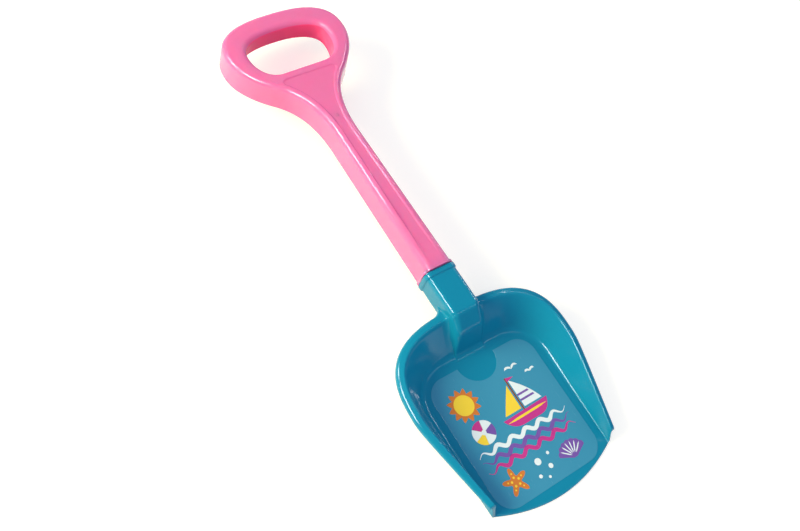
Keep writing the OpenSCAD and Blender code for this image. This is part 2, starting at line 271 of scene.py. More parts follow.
# Section of the wall from the floor over the rim and back underneath.
# The rim falls evenly to the front, and drops away at the cheeks.
def wall_section(foot, edge, on_side, drop):
    out = flat_point(1, 0) if on_side else (edge - foot).normalized()
    t = (-edge.y - rim_rear) / (-cheek_top.y - rim_rear)
    rise = mix(rim_h, rim_front_h, t)
    flat = mix(rim_flat, rim_front_flat, t)
    skirt = mix(rim_skirt, rim_front_skirt, t)
    height = rise - drop
    share = flat / rim_flat
    fold = mix(foot, edge - flat * out, (height - pan_t) / (rise - pan_t))
    brim = fold + flat * out + flat_point(0, web_swell(abs(edge.x)))
    lip = min(lip_share * pan_t, lip_most * (flat - wall_run))
    small = hollow_share * (flat - lip - wall_run)
    low = foot + up * pan_t
    top = fold + up * height
    side = brim + up * (height - share * rim_droop)
    climb = (top - low).normalized()
    # the foot's rounding tightens along most of the side, the fold's over its first third
    foot_r = mix(foot_round, foot_front_round, min(t * foot_pace, 1))
    turn = min(foot_r, wall_most * (top - low).length)
    roll = share * fold_round * mix(1, fold_front_share, ease(t * fold_pace))
    edge_r = share * rim_round
    hem = hem_share * lip
    under = fold + wall_run * out + up * (height - pan_t)
    sole = foot + wall_run * out
    heel = min(heel_round, wall_most * height)
    points = bend(low - turn * out, low, low + turn * climb)
    wall_top = top - roll * climb
    points += between(points[-1], wall_top)
    along_flat = (side - top).normalized()
    points += bend(wall_top, top, top + share * fold_crease * along_flat)
    points += bend(side - edge_r * along_flat, side, side - min(edge_r, edge_most * skirt) * up)
    hem_out = side - skirt * up
    points += bend(hem_out + hem * up, hem_out, hem_out - hem * out, steps=3)
    hem_in = hem_out - lip * out
    points += bend(hem_in + hem * out, hem_in, hem_in + hem * up, steps=3)
    ceiling = side - lip * out - pan_t * up
    points += bend(ceiling - small * up, ceiling, ceiling - small * out, steps=3)
    points += bend(under + small * out, under, under - small * climb, steps=3)
    points += bend(sole + heel * climb, sole, sole - heel * out, steps=5)
    return points


sections = []
for foot, edge in zip(floor_corner, rim_corner):
    sections.append(wall_section(foot, edge, False, 0))
floor_side = [floor_corner[-1], front_at(floor_front_w / 2)]
cheek_share = cheek_r / (cheek_top - rim_corner[-1]).length
side_steps = [(1 - cheek_share) * i / side_count for i in range(1, side_count + 1)]
steps = [(t, 0) for t in side_steps]
for i in range(1, cheek_count + 1):
    turn = pi / 2 * i / cheek_count
    steps.append((1 - cheek_share * (1 - sin(turn)), cheek_r * (1 - cos(turn))))
for t, drop in steps:
    edge = flat_point(mix(rim_w / 2, cheek_top.x, lead(t)), mix(-rim_widest, cheek_top.y, t))
    sections.append(wall_section(mix(*floor_side, t), edge, True, drop))

scoop_mesh = bmesh.new()
sections = [[flipped(p) for p in section] for section in reversed(sections[1:])] + sections
wall_rows = skin(scoop_mesh, sections, closed=False)

# The front edge of the floor is rounded over. Each pair is a distance back from it and a height.
front_count = 40
front_drop = [(1.6, pan_t), (0.5, pan_t - 0.3), (0, pan_t - 1), (0, 0.5), (0.5, 0)]
front_rows = []
for i in range(1, front_count):
    x = floor_front_w * (0.5 - i / front_count)
    edge = front_at(x)
    front_rows.append([scoop_mesh.verts.new(edge + Vector((0, back, z))) for back, z in front_drop])
last_row = []
first_row = []
for back, z in front_drop[1:-1]:
    for row, sign in ((last_row, 1), (first_row, -1)):
        corner = front_at(sign * floor_front_w / 2)
        row.append(scoop_mesh.verts.new(corner + Vector((0, back, z))))
right_end = [wall_rows[-1][0]] + last_row + [wall_rows[-1][-1]]
left_end = [wall_rows[0][0]] + first_row + [wall_rows[0][-1]]
front_rows = [right_end] + front_rows + [left_end]
for a, b in zip(front_rows, front_rows[1:]):
    for i in range(len(front_drop) - 1):
        scoop_mesh.faces.new((a[i], a[i + 1], b[i + 1], b[i]))
cap(scoop_mesh, wall_rows[-1] + last_row[::-1])
cap(scoop_mesh, wall_rows[0] + first_row[::-1])
cap(scoop_mesh, [row[0] for row in wall_rows] + [row[0] for row in front_rows[1:-1]])
cap(scoop_mesh, [row[-1] for row in wall_rows] + [row[-1] for row in front_rows[1:-1]])


# A closed rounded rectangle across the shovel, whose top may lean back along it
def bar_ring(w, h, r, z, v, corner=7, top_back=0):
    ring = []
    for turn, sx, sz in ((0, 1, 1), (1, -1, 1), (2, -1, -1), (3, 1, -1)):
        for i in range(corner + 1):
            a = pi / 2 * (turn + i / corner)
            x = sx * (w / 2 - r) + r * cos(a)
            height = h / 2 + sz * (h / 2 - r) + r * sin(a)
            ring.append(Vector((x, v + top_back * height / h, z + height)))
    return ring


# The same ring, grown on all sides
def grown_ring(w, h, r, z, v, grow):
    return bar_ring(w + 2 * grow, h + 2 * grow, r + grow, z - grow, v)


# The socket: bore, mouth, bead and outside, up to an end that is hidden inside the nose.
# Each pair is a place along the socket and how far the surface stands out there.
bore_z = socket_z + (socket_h - bore_h) / 2
lead_in = 0.6
socket_rings = [bar_ring(bore_w, bore_h, bore_r, bore_z, v) for v in (-bore_len, -lead_in)]
socket_rings.append(grown_ring(bore_w, bore_h, bore_r, bore_z, 0, lead_in))
bead_rise = 1.2
bead = [(0, 0.5), (-0.2, 0.95), (-0.7, bead_rise), (-3.7, bead_rise), (-4.5, 0.95), (-4.9, 0.5),
        (-5.1, 0.2), (-5.5, 0.03), (-6.2, 0)]
outside = [(-20, 0), (-nose_back + 0.1, 0), (-nose_back - 0.2, -0.06), (-38.4, -0.1)]
for v, grow in bead + outside:
    socket_rings.append(grown_ring(socket_w, socket_h, socket_r, socket_z, v, grow))
hidden = 0.6
hidden_end = 50.5
hidden_lean = 7.3
hidden_z = socket_z + 0.1
socket_rings.append(bar_ring(socket_w - 2 * hidden, socket_h - 2 * hidden, socket_r, hidden_z,
                             -hidden_end, top_back=hidden_lean))
closed_skin(scoop_mesh, socket_rings)


# A point in the middle plane of the shovel
def side_point(v, z):
    return Vector((0, v, z))


# The nose stands on the line of rim, wall and floor behind it, and is blended into them
base_fold = side_point(-rim_rear - rim_flat, rim_h)
base_foot = side_point(-floor_rear, pan_t)
base_climb = (base_fold - base_foot).normalized()
brow = side_point(-nose_from, socket_top)
tip = brow + side_point(-nose_run, -nose_drop)
toe = side_point(-nose_foot, pan_t)
slope = (tip - brow).normalized()
toe_climb = (tip - toe).normalized()
forward = side_point(-1, 0)
sink = 0.25 * up
toe_sink = 0.1 * up
toe_spread = 1
tail = 8
split_share = 0.55
flat_fall = 0.85
wall_split = mix(base_foot, base_fold, split_share)
flat_start = side_point(-nose_back, rim_h - flat_fall * rim_droop)
fold_start = base_fold + fold_crease * (flat_start - base_fold).normalized()
fold_end = base_fold - fold_round * base_climb
foot_start = base_foot + foot_round * base_climb
toe_start = toe + foot_round * toe_climb
foot_end = base_foot + foot_round * forward
base_parts = [
    [flat_start, fold_start],
    bend(fold_start, base_fold, fold_end),
    [fold_end, wall_split],
    [wall_split, foot_start],
    bend(foot_start, base_foot, foot_end),
    [foot_end, foot_end + tail * forward - sink]]
nose_start = side_point(-nose_back, socket_top)
nose_mid = side_point(-nose_level, socket_top)
brow_bend = bend(brow - nose_top_round * forward, brow, brow + nose_top_round * slope)
tip_bend = bend(tip - nose_low_round * slope, tip, tip - nose_low_round * toe_climb)
toe_end = toe + (foot_round + toe_spread) * forward
nose_parts = [
    [nose_start, nose_mid],
    [nose_mid] + brow_bend,
    [brow_bend[-1]] + tip_bend,
    [tip_bend[-1], toe_start],
    bend(toe_start, toe, toe_end - toe_sink),
    [toe_end - toe_sink, toe_end + tail * forward - sink]]
# Each part of the nose's line gets its own count of rings
part_counts = [10, 16, 20, 14, 12, 3]
base_line = [base_parts[0][0]]
nose_line = [nose_parts[0][0]]
for base_part, nose_part, count in zip(base_parts, nose_parts, part_counts):
    base_line += evened(base_part, count)[1:]
    nose_line += evened(nose_part, count)[1:]


# The height of the rim's flat top, which falls evenly to the edge
def rim_level(x, v):
    edge = -rim_rear + web_swell(x)
    fold = -rim_rear - rim_flat
    return rim_h - rim_droop * max(0, min(1, (v - fold) / (edge - fold)))


edge_share = 0.5
fillet_share = 0.4
hem_run = 0.6
hem_sink = 0.15
turn_steps = 8
turns = [pi / 2 * k / turn_steps for k in range(turn_steps + 1)]


# Section of the nose on one point of the line behind it: half the top, the rounded edge, the side,
# the fillet at its foot, and a closing below
def nose_ring(base, head, spread, side_r):
    rise = head - base
    height = rise.length
    half = socket_w / 2
    r = min(side_r, edge_share * height)
    fillet = min(nose_fillet, fillet_share * height) * spread
    reach = nose_fillet * spread
    # the foot of the fillet follows the rim's fall, and the bow of the rear wall below it
    if base.y > base_fold.y:
        lift = rim_level(half + reach, base.y) - rim_level(half, base.y)
    else:
        lift = wall_bow * (base.z - pan_t) / (rim_h - pan_t)
    profile = [(x, height) for x in [0] + between(0, half - r)]
    profile += [(half - r + r * sin(turn), height - r + r * cos(turn)) for turn in turns]
    profile += [(half, h) for h in between(height - r, fillet)]
    profile += [(half + reach * (1 - cos(turn)), mix(fillet, lift, sin(turn))) for turn in turns]
    profile += [(half + reach + hem_run, lift - hem_sink)]
    way = rise / height
    right = []
    for x, h in profile:
        right.append(base + way * h + Vector((x, 0, 0)))
    below = base - nose_below * up
    closing = [below + Vector((half + reach, 0, 0)), below]
    left = [flipped(p) for p in reversed(right[1:] + closing[:1])]
    return right + closing + left


# The fillet grows over the first rings, and the edges soften after the level part
least_spread = 0.03
spread_rings = 18
soft_from = 14
soft_rings = 16
nose_rings = []
for i, (base, head) in enumerate(zip(base_line, nose_line)):
    spread = mix(least_spread, 1, ease(i / spread_rings))
    side_r = mix(socket_r, nose_side_r, ease((i - soft_from) / soft_rings))
    nose_rings.append(nose_ring(base, head, spread, side_r))
closed_skin(scoop_mesh, nose_rings)


# Plain colours are written as they look on a screen
def screen(r, g, b):
    linear = []
    for c in (r / 255, g / 255, b / 255):
        linear.append(c / 12.92 if c < 0.04 else ((c + 0.055) / 1.055) ** 2.4)
    return (*linear, 1)


# Shared effect: the skin of a glossy moulding, with faint flow clouds, handling haze and fine scuffs
def build_moulded_skin():
    group = bpy.data.node_groups.new("moulded_skin", "ShaderNodeTree")
    sockets = group.interface
    sockets.new_socket(name="Colour", in_out="INPUT", socket_type="NodeSocketColor")
    sockets.new_socket(name="Deep Colour", in_out="INPUT", socket_type="NodeSocketColor")
    sockets.new_socket(name="Gloss", in_out="INPUT", socket_type="NodeSocketFloat")
    sockets.new_socket(name="Scuffs", in_out="INPUT", socket_type="NodeSocketFloat")
    sockets.new_socket(name="Colour", in_out="OUTPUT", socket_type="NodeSocketColor")
    sockets.new_socket(name="Roughness", in_out="OUTPUT", socket_type="NodeSocketFloat")
    sockets.new_socket(name="Height", in_out="OUTPUT", socket_type="NodeSocketFloat")
    nodes = group.nodes
    links = group.links
    given = nodes.new("NodeGroupInput")
    result = nodes.new("NodeGroupOutput")
    place = nodes.new("ShaderNodeTexCoord")
    # the colour is faintly clouded where the plastic flowed
    flow = nodes.new("ShaderNodeTexNoise")
    flow.inputs["Scale"].default_value = 14
    flow.inputs["Detail"].default_value = 3
    links.new(place.outputs["Object"], flow.inputs["Vector"])
    tint = nodes.new("ShaderNodeMix")
    tint.data_type = "RGBA"
    links.new(flow.outputs["Fac"], tint.inputs["Factor"])
    links.new(given.outputs["Deep Colour"], tint.inputs["A"])
    links.new(given.outputs["Colour"], tint.inputs["B"])
    links.new(tint.outputs["Result"], result.inputs["Colour"])
    # fine scuffs run mostly along the shovel
    stretch = nodes.new("ShaderNodeMapping")
    stretch.inputs["Scale"].default_value = (900, 90, 900)
    stretch.inputs["Rotation"].default_value = (0, 0, radians(12))
    links.new(place.outputs["Object"], stretch.inputs["Vector"])
    scuff = nodes.new("ShaderNodeTexNoise")
    scuff.inputs["Scale"].default_value = 1
    scuff.inputs["Detail"].default_value = 4
    links.new(stretch.outputs["Vector"], scuff.inputs["Vector"])
    thin = nodes.new("ShaderNodeMapRange")
    thin.inputs["From Min"].default_value = 0.6
    thin.inputs["From Max"].default_value = 0.8
    links.new(scuff.outputs["Fac"], thin.inputs["Value"])
    amount = nodes.new("ShaderNodeMath")
    amount.operation = "MULTIPLY"
    links.new(thin.outputs["Result"], amount.inputs[0])
    links.new(given.outputs["Scuffs"], amount.inputs[1])
    # handling leaves an uneven haze on the gloss
    haze = nodes.new("ShaderNodeTexNoise")
    haze.inputs["Scale"].default_value = 45
    haze.inputs["Detail"].default_value = 5
    links.new(place.outputs["Object"], haze.inputs["Vector"])
    haze_part = nodes.new("ShaderNodeMath")
    haze_part.operation = "MULTIPLY_ADD"
    haze_part.inputs[1].default_value = 0.05
    links.new(haze.outputs["Fac"], haze_part.inputs[0])
    links.new(given.outputs["Gloss"], haze_part.inputs[2])
    rough = nodes.new("ShaderNodeMath")
    rough.operation = "ADD"
    links.new(haze_part.outputs[0], rough.inputs[0])
    links.new(amount.outputs[0], rough.inputs[1])
    links.new(rough.outputs[0], result.inputs["Roughness"])
    # moulded faces are never quite flat
    wave = nodes.new("ShaderNodeTexNoise")
    wave.inputs["Scale"].default_value = 60
    wave.inputs["Detail"].default_value = 1
    links.new(place.outputs["Object"], wave.inputs["Vector"])
    height = nodes.new("ShaderNodeMath")
    height.operation = "MULTIPLY_ADD"
    height.inputs[1].default_value = -0.12
    links.new(amount.outputs[0], height.inputs[0])
    links.new(wave.outputs["Fac"], height.inputs[2])
    links.new(height.outputs[0], result.inputs["Height"])
    return group


moulded_skin = build_moulded_skin()


# A glossy moulded plastic with its own colours
def moulded_plastic(name, colour, deep, gloss, scuffs, shine=0.34, glow=(0, 0, 0)):
    material = bpy.data.materials.new(name)
    material.use_nodes = True
    nodes = material.node_tree.nodes
    links = material.node_tree.links
    shader = nodes["Principled BSDF"]
    shader.inputs["IOR"].default_value = 1.49
    shader.inputs["Specular IOR Level"].default_value = shine
    # light wanders under the surface, as many millimetres as the glow says for red, green and blue
    if max(glow) > 0:
        shader.inputs["Subsurface Weight"].default_value = 0.7
        shader.inputs["Subsurface Radius"].default_value = glow
        shader.inputs["Subsurface Scale"].default_value = 0.001
    skin_node = nodes.new("ShaderNodeGroup")
    skin_node.node_tree = moulded_skin
    skin_node.inputs["Colour"].default_value = colour
    skin_node.inputs["Deep Colour"].default_value = deep
    skin_node.inputs["Gloss"].default_value = gloss
    skin_node.inputs["Scuffs"].default_value = scuffs
    links.new(skin_node.outputs["Colour"], shader.inputs["Base Color"])
    links.new(skin_node.outputs["Roughness"], shader.inputs["Roughness"])
    bump = nodes.new("ShaderNodeBump")
    bump.inputs["Distance"].default_value = 0.00002
    links.new(skin_node.outputs["Height"], bump.inputs["Height"])
    links.new(bump.outputs["Normal"], shader.inputs["Normal"])
    return material


teal = moulded_plastic("teal_gloss", screen(20, 134, 171), screen(16, 127, 164), gloss=0.09, scuffs=0.05)
scoop = add_piece("scoop_moulding", scoop_mesh, [teal])
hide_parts("scoop")
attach(scoop, "scoop")

# Printed film
# A thin clear film, a little hazy, that is fused onto the floor of the scoop.
# It is cut as a rounded rectangle with a round cut-out in front of the nose,
# and carries a printed seaside design in flat inks.

film_w = 108
film_front = 195
film_rear = 75
film_r = 17
film_cut_r = 19
film_t = 0.2
film_top = pan_t + film_t


# Points of a circle between two angles in degrees
def arc(middle, r, start, end, steps):
    points = []
    for i in range(steps + 1):
        a = radians(start + (end - start) * i / steps)
        points.append(middle + flat_point(r * cos(a), r * sin(a)))
    return points


# The film's outline, drawn in by an inset
def film_outline(inset):
    r = film_r - inset
    x = film_w / 2 - film_r
    low = -film_front + film_r
    high = -film_rear - film_r
    cut_r = film_cut_r + inset
    dip = degrees(asin(inset / cut_r))
    points = arc(flat_point(x, high), r, 0, 90, 12)
    points += arc(flat_point(0, -film_rear), cut_r, -dip, dip - 180, 40)
    points += arc(flat_point(-x, high), r, 90, 180, 12)
    points += arc(flat_point(-x, low), r, 180, 270, 12)
    points += arc(flat_point(x, low), r, 270, 360, 12)
    return points


# The cut edge of the film is softened. Each pair is an inset and a height.
film_edge = [(0, pan_t - 0.05), (0, film_top - 0.08), (0.06, film_top - 0.02), (0.15, film_top)]
film_mesh = bmesh.new()
closed_skin(film_mesh, [[p + up * z for p in film_outline(inset)] for inset, z in film_edge])

ink_sink = 0.02
ink_t = 0.03


# A flat patch of ink, one layer above another by its level
def add_ink(outline, level, ink):
    first = len(film_mesh.faces)
    heights = (film_top - ink_sink, film_top + ink_t * level)
    closed_skin(film_mesh, [[p + up * z for p in outline] for z in heights])
    film_mesh.faces.ensure_lookup_table()
    for face in film_mesh.faces[first:]:
        face.material_index = ink


# A closed outline whose distance from the middle depends on the angle in degrees
def polar(x, v, radius_at, count):
    points = []
    for i in range(count):
        a = radians(360 * i / count)
        r = radius_at(360 * i / count)
        points.append(flat_point(x + r * cos(a), v + r * sin(a)))
    return points


def disc(x, v, r):
    return polar(x, v, lambda a: r, count=40)


# A brush stroke along a line, which tapers over a fifth of it at both ends
def stroke(line, thick):
    left = []
    right = []
    taper = 5
    thinnest = 0.12
    last = len(line) - 1
    for i in range(last + 1):
        way = line[min(i + 1, last)] - line[max(i - 1, 0)]
        half = thick / 2 * max(thinnest, min(1, taper * i / last, taper * (last - i) / last))
        across = flat_point(-way.y, way.x).normalized() * half
        left.append(line[i] + across)
        right.append(line[i] - across)
    return left + right[::-1]


# Inks by their place in the film's list of materials, where the film itself comes first
white, magenta, yellow, orange, purple, brown = range(1, 7)

# Sun with twelve pointed rays
sun_x = -32
sun_v = -104
sun_r = 9
ray_foot = 10.5
ray_len = 4.5
ray_turn = 15
sun_rays = polar(sun_x, sun_v, lambda a: ray_foot + ray_len * abs((a / ray_turn) % 2 - 1), count=96)
add_ink(sun_rays, 1, orange)
add_ink(disc(sun_x, sun_v, sun_r), 2, yellow)

# Two gulls
wing_t = 1.8
for x, v, size in ((24, -97, 7), (38, -106, 5)):
    for side in (-1, 1):
        wing = bend(flat_point(x, v), flat_point(x + side * 0.4 * size, v + 0.7 * size),
                    flat_point(x + side * size, v + 0.2 * size), 10)
        add_ink(stroke(wing, wing_t), 1, white)

# Sailing boat: hull with a stripe, mast, two sails, two bands on the larger one, and a pennant
keel = -142
hull = bend(flat_point(-10, -132), flat_point(-5, keel), flat_point(6, keel))
hull += bend(flat_point(24, keel), flat_point(33, keel), flat_point(37, -131))
add_ink(hull, 2, magenta)
stripe_count = 12
stripe_start = flat_point(-7, -135.5)
stripe_end = flat_point(34, -135)
stripe_t = 2
add_ink(stroke(evened([stripe_start, stripe_end], stripe_count), stripe_t), 3, yellow)


# A patch with straight edges, whose corners are given as pairs
def add_patch(corners, level, ink):
    add_ink([flat_point(x, v) for x, v in corners], level, ink)


mast_left = 12
mast_right = 13.4
mast_low = -133
mast_top = -101
mast = [(mast_left, mast_low), (mast_right, mast_low), (mast_right, mast_top), (mast_left, mast_top)]
add_patch(mast, 1, brown)
sail_low = -129.5
sail_x = 14.6
jib_x = 10.8
main_sail = bend(flat_point(sail_x, -104), flat_point(28, -116), flat_point(33, sail_low), 10)
add_ink(main_sail + [flat_point(sail_x, sail_low)], 1, white)
jib = bend(flat_point(jib_x, -107), flat_point(2, -118), flat_point(-6, sail_low), 10)
add_ink(jib + [flat_point(jib_x, sail_low)], 1, yellow)
band_pitch = 5
band_t = 1.8
for k in (1, 2):
    v = sail_low + band_pitch * k
    end = 31.6 - 2.6 * k
    add_patch([(sail_x, v), (end, v), (end - 0.8, v + band_t), (sail_x, v + band_t)], 2, purple)
pennant_x = 13.1
add_patch([(pennant_x, -101.2), (21, -103), (pennant_x, -105)], 2, magenta)

# Three rows of waves
wave_half = 46
wave_count = 72
wave_h = 2.2
wave_turn = 24
wave_t = 3.6
for v, ink, start in ((-147, white, 0), (-154, purple, 90), (-161, magenta, 200)):
    line = []
    for k in range(wave_count + 1):
        x = mix(-wave_half, wave_half, k / wave_count)
        line.append(flat_point(x, v + wave_h * sin(radians(x * wave_turn + start))))
    add_ink(stroke(line, wave_t), 1, ink)

# Starfish with dots along its arms
star_x = -30
star_v = -177
star_r = 5
arm_len = 7
arm_power = 1.4
arm_count = 5
arm_start = 18


# How far the starfish reaches at an angle in degrees
def star_reach(a):
    wave = 0.5 + 0.5 * cos(radians(arm_count * (a - arm_start)))
    return star_r + arm_len * wave ** arm_power


add_ink(polar(star_x, star_v, star_reach, count=100), 1, orange)
for k in range(arm_count):
    a = radians(arm_start + 360 / arm_count * k)
    for r, size in ((3.6, 1), (7, 0.7)):
        add_ink(disc(star_x + r * cos(a), star_v + r * sin(a), size), 2, yellow)

# Fan shell with seven scallops and six ribs
fan_x = 28
fan_v = -185
fan_r = 14
fan_foot = [(2, -1), (4.5, 0.5)]
fan_rib_t = 1
scallop_h = 0.9
scallops = 7
fan_start = 160
fan_turn = 140
fan_count = 63
fan = [flat_point(fan_x - x, fan_v + v) for x, v in fan_foot]
for k in range(fan_count + 1):
    a = radians(fan_start - fan_turn * k / fan_count)
    r = fan_r + scallop_h * abs(sin(pi * scallops * k / fan_count))
    fan.append(flat_point(fan_x + r * cos(a), fan_v + r * sin(a)))
fan += [flat_point(fan_x + x, fan_v + v) for x, v in reversed(fan_foot)]
add_ink(fan, 1, purple)
for k in range(1, scallops):
    a = radians(fan_start - fan_turn * k / scallops)
    rib = [flat_point(fan_x + r * cos(a), fan_v + r * sin(a)) for r in (3, 5, 7, 9, 11, 13)]
    add_ink(stroke(rib, fan_rib_t), 2, white)

# Beach ball in six fields with a cap in the middle
ball = flat_point(-30, -131)
ball_r = 10.5
ball_cap_r = 2.2
field_foot_r = 1.2
field_turn = 60
field_gap = 0.8
ball_turn = 20
for k, ink in enumerate((white, magenta, white, yellow, white, purple)):
    start = field_turn * k + ball_turn + field_gap / 2
    end = start + field_turn - field_gap
    add_ink(arc(ball, ball_r, start, end, 12) + arc(ball, field_foot_r, end, start, 2), 1, ink)
add_ink(disc(ball.x, ball.y, ball_cap_r), 2, white)

# Bubbles
for x, v, r in ((-4, -173, 3), (4, -181, 2.1), (-9, -184, 1.6), (8, -171, 1.4), (-2, -188, 1.2)):
    add_ink(disc(x, v, r), 1, white)

film_haze = moulded_plastic("film_haze", screen(66, 146, 182), screen(56, 140, 176),
                            gloss=0.2, scuffs=0.1)
inks = [film_haze]
for name, colour, deep in (("ink_white", (236, 240, 244), (222, 230, 238)),
                           ("ink_magenta", (206, 62, 146), (192, 52, 136)),
                           ("ink_yellow", (250, 214, 70), (244, 204, 58)),
                           ("ink_orange", (222, 130, 60), (208, 116, 50)),
                           ("ink_purple", (128, 92, 176), (114, 80, 164)),
                           ("ink_brown", (134, 84, 54), (122, 74, 46))):
    inks.append(moulded_plastic(name, screen(*colour), screen(*deep), gloss=0.2, scuffs=0.12))
film = add_piece("film_sheet", film_mesh, inks)
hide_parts("print_film")
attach(film, "scoop")

# Handle
# One injection moulding in glossy pink plastic: D-grip, web and shaft in one open-backed shell
# with cross ribs. A shallow panel is sunk into the front. The plug below the stop plate
# pushes into the socket and holds by friction.

grip_reach = 297
grip_w = 123
grip_crown = 37
crown_power = 2.6
grip_r = 5.2
bar_top = 15.5
bar_side = 17.5
hole_h = 52.5
hole_power = 2.4
hole_flat = 42
hole_edge_r = 3.5
handle_d = 26
handle_z = 19.3
shaft_r = 5.8
draft = 1
shaft_w = 26
neck_w = 22.8
neck_reach = 150
flare_reach = 214
flare_half = 34.5
flare_lean = radians(42)
handle_wall = 2.5
panel_sink = 0.9
panel_rim = 7
panel_r = 7
panel_start = 7
panel_web = 8
rib_pitch = 34
rib_t = 1.6
rib_sink = 5
hollow_d = 20.3
stop_start = 0.3
stop_len = 3
stop_w = 30.8
stop_h = 26.6
stop_z = 16.4
stop_r = 5.4
plug_w = 24
plug_h = 19.8
plug_z = 19.8
plug_r = 2
plug_len = 40
shell_start = 0.6
flare_hold = 18
web_hold = 22
neck_hold = 28
hole_hold = 15
hole_lean = 4.5


# A curve from the first point to the last that leaves and arrives towards the two between
def cubic(p0, p1, p2, p3, steps=60):
    points = []
    for i in range(steps + 1):
        t = i / steps
        u = 1 - t
        points.append(u ** 3 * p0 + 3 * u * u * t * p1 + 3 * u * t * t * p2 + t ** 3 * p3)
    return points


# Outward direction at each point of a right half outline that runs clockwise
def outward(path):
    ways = []
    last = len(path) - 1
    for i in range(last + 1):
        t = path[min(i + 1, last)] - path[max(i - 1, 0)]
        way = flat_point(-t.y, t.x).normalized()
        if i in (0, last):
            way = flat_point(0, t.x) if abs(t.x) > abs(t.y) else flat_point(-t.y, 0)
        ways.append(way.normalized())
    return ways


on_middle = 0.001


# A whole ring from a half outline, moved outward and set at a height, both given for each point
def half_ring(path, moves, heights):
    ways = outward(path)
    right = [p + way * d + up * (handle_z + z) for p, way, d, z in zip(path, ways, moves, heights)]
    return right + [flipped(p) for p in reversed(right) if p.x > on_middle]


# One path from parts that start where the one before ends
def joined(*parts):
    path = list(parts[0])
    for part in parts[1:]:
        path += part[1:]
    return path


widest = grip_reach - grip_crown
hole_top = grip_reach - bar_top
hole_low = hole_top - hole_h
hole_half_w = grip_w / 2 - bar_side
grip_side = flat_point(grip_w / 2, widest)
flare_mid = flat_point(flare_half, flare_reach)
flare_way = flat_point(cos(flare_lean), sin(flare_lean))
neck = flat_point(neck_w / 2, neck_reach)
shaft_end = flat_point(shaft_w / 2, shell_start)
crown = [p + flat_point(0, widest) for p in quarter_bow(grip_w / 2, grip_crown, crown_power, steps=200)]
flare_start = flare_mid + flare_hold * flare_way
flare_low = flare_mid - web_hold * flare_way
handle_path = joined(
    evened(crown, count=36),
    evened(cubic(grip_side, grip_side - flat_point(0, flare_hold), flare_start, flare_mid), count=24),
    evened(cubic(flare_mid, flare_low, neck + flat_point(0, neck_hold), neck), count=28),
    evened([neck, shaft_end], count=24))
hole_corner = flat_point(hole_flat / 2, hole_low)
hole_side = flat_point(hole_half_w, widest)
hole_crown = [p + flat_point(0, widest)
              for p in quarter_bow(hole_half_w, hole_top - widest, hole_power, steps=200)]
hole_path = joined(
    evened(hole_crown, count=28),
    evened(cubic(hole_side, hole_side - flat_point(0, hole_hold),
                 hole_corner + flat_point(hole_hold, 0), hole_corner), count=22),
    evened([hole_corner, flat_point(0, hole_low)], count=8))

handle_mesh = bmesh.new()


# Radii along a path that change from one to another between a low and a high place
def radii_along(path, low_r, high_r, low, high):
    return [mix(low_r, high_r, ease((p.y - low) / (high - low))) for p in path]


edge_radii = radii_along(handle_path, shaft_r, grip_r, neck_reach, widest)
hole_radii = radii_along(hole_path, hole_edge_r, grip_r, hole_low, widest)
# The hand hole opens out towards the back, most of all under the bar
hole_leans = [hole_lean * ease((p.y - hole_low) / hole_h) for p in hole_path]
hole_path = [p - way * lean for p, way, lean in zip(hole_path, outward(hole_path), hole_leans)]
# The rim of the open back is softened. Each pair is an inset and a height.
back_round = [(0.6, 0), (0.18, 0.18), (0, 0.6)]
round_steps = 10


# Rings of one side wall, from the open back over the rounded front edge
def wall_rings(path, radii, leans, side):
    rings = []
    for inset, z in back_round:
        rings.append(half_ring(path, [lean - side * inset for lean in leans], [z] * len(path)))
    for k in range(round_steps + 1):
        a = pi / 2 * k / round_steps
        moves = [-side * r * (1 - cos(a)) for r in radii]
        rings.append(half_ring(path, moves, [handle_d - r * (1 - sin(a)) for r in radii]))
    return rings


outer_rows = skin(handle_mesh, wall_rings(handle_path, edge_radii, [draft] * len(handle_path), 1))
first_hole_face = len(handle_mesh.faces)
hole_rows = skin(handle_mesh, wall_rings(hole_path, hole_radii, hole_leans, -1))
# The wall of the hole and the start of its rounding get a deeper pink material: painted shade, standing
# in for the dim light bounced between the pink walls
rings_into_round = 2
painted_shade_faces = (len(back_round) + rings_into_round) * len(hole_rows[0])
handle_mesh.faces.ensure_lookup_table()
for face in handle_mesh.faces[first_hole_face:first_hole_face + painted_shade_faces]:
    face.material_index = 1

# The sunk panel narrows from the web to a strip down the shaft and fades out near the mouth
panel_top = hole_low - panel_web
panel_edge = []
for p, way in zip(handle_path, outward(handle_path)):
    q = p - way * panel_rim
    if neck_reach <= q.y < panel_top - panel_r and q.x > 0 and p.y < widest:
        panel_edge.append(q)
panel_corner = flat_point(panel_edge[0].x - panel_r / 2, panel_top)
panel_end = flat_point(shaft_w / 2 - panel_rim, panel_start)
panel_path = joined(
    evened([flat_point(0, panel_top), panel_corner], count=10),
    evened(cubic(panel_corner, panel_corner + flat_point(panel_r, 0),
                 panel_edge[0] + panel_r * flare_way, panel_edge[0]), count=14),
    panel_edge,
    evened([panel_edge[-1], panel_end], count=40))
panel_fade = 24
panel_least = 0.03
panel_shares = [max(panel_least, ease((p.y - panel_start) / panel_fade)) for p in panel_path]
panel_depths = [panel_sink * share for share in panel_shares]
# Each pair is a place across the panel's edge and the share of the depth that is reached there
panel_slope = [(0.9, 0), (0.55, 0.06), (0.25, 0.25), (0, 0.55), (-0.25, 0.84), (-0.55, 0.96), (-0.9, 1)]
panel_rings = []
for move, sunk in panel_slope:
    depths = [handle_d - sunk * d for d in panel_depths]
    panel_rings.append(half_ring(panel_path, [move] * len(panel_path), depths))
panel_rows = skin(handle_mesh, panel_rings)
fill_between(handle_mesh, outer_rows[-1], hole_rows[-1], panel_rows[0])
fill_between(handle_mesh, panel_rows[-1])

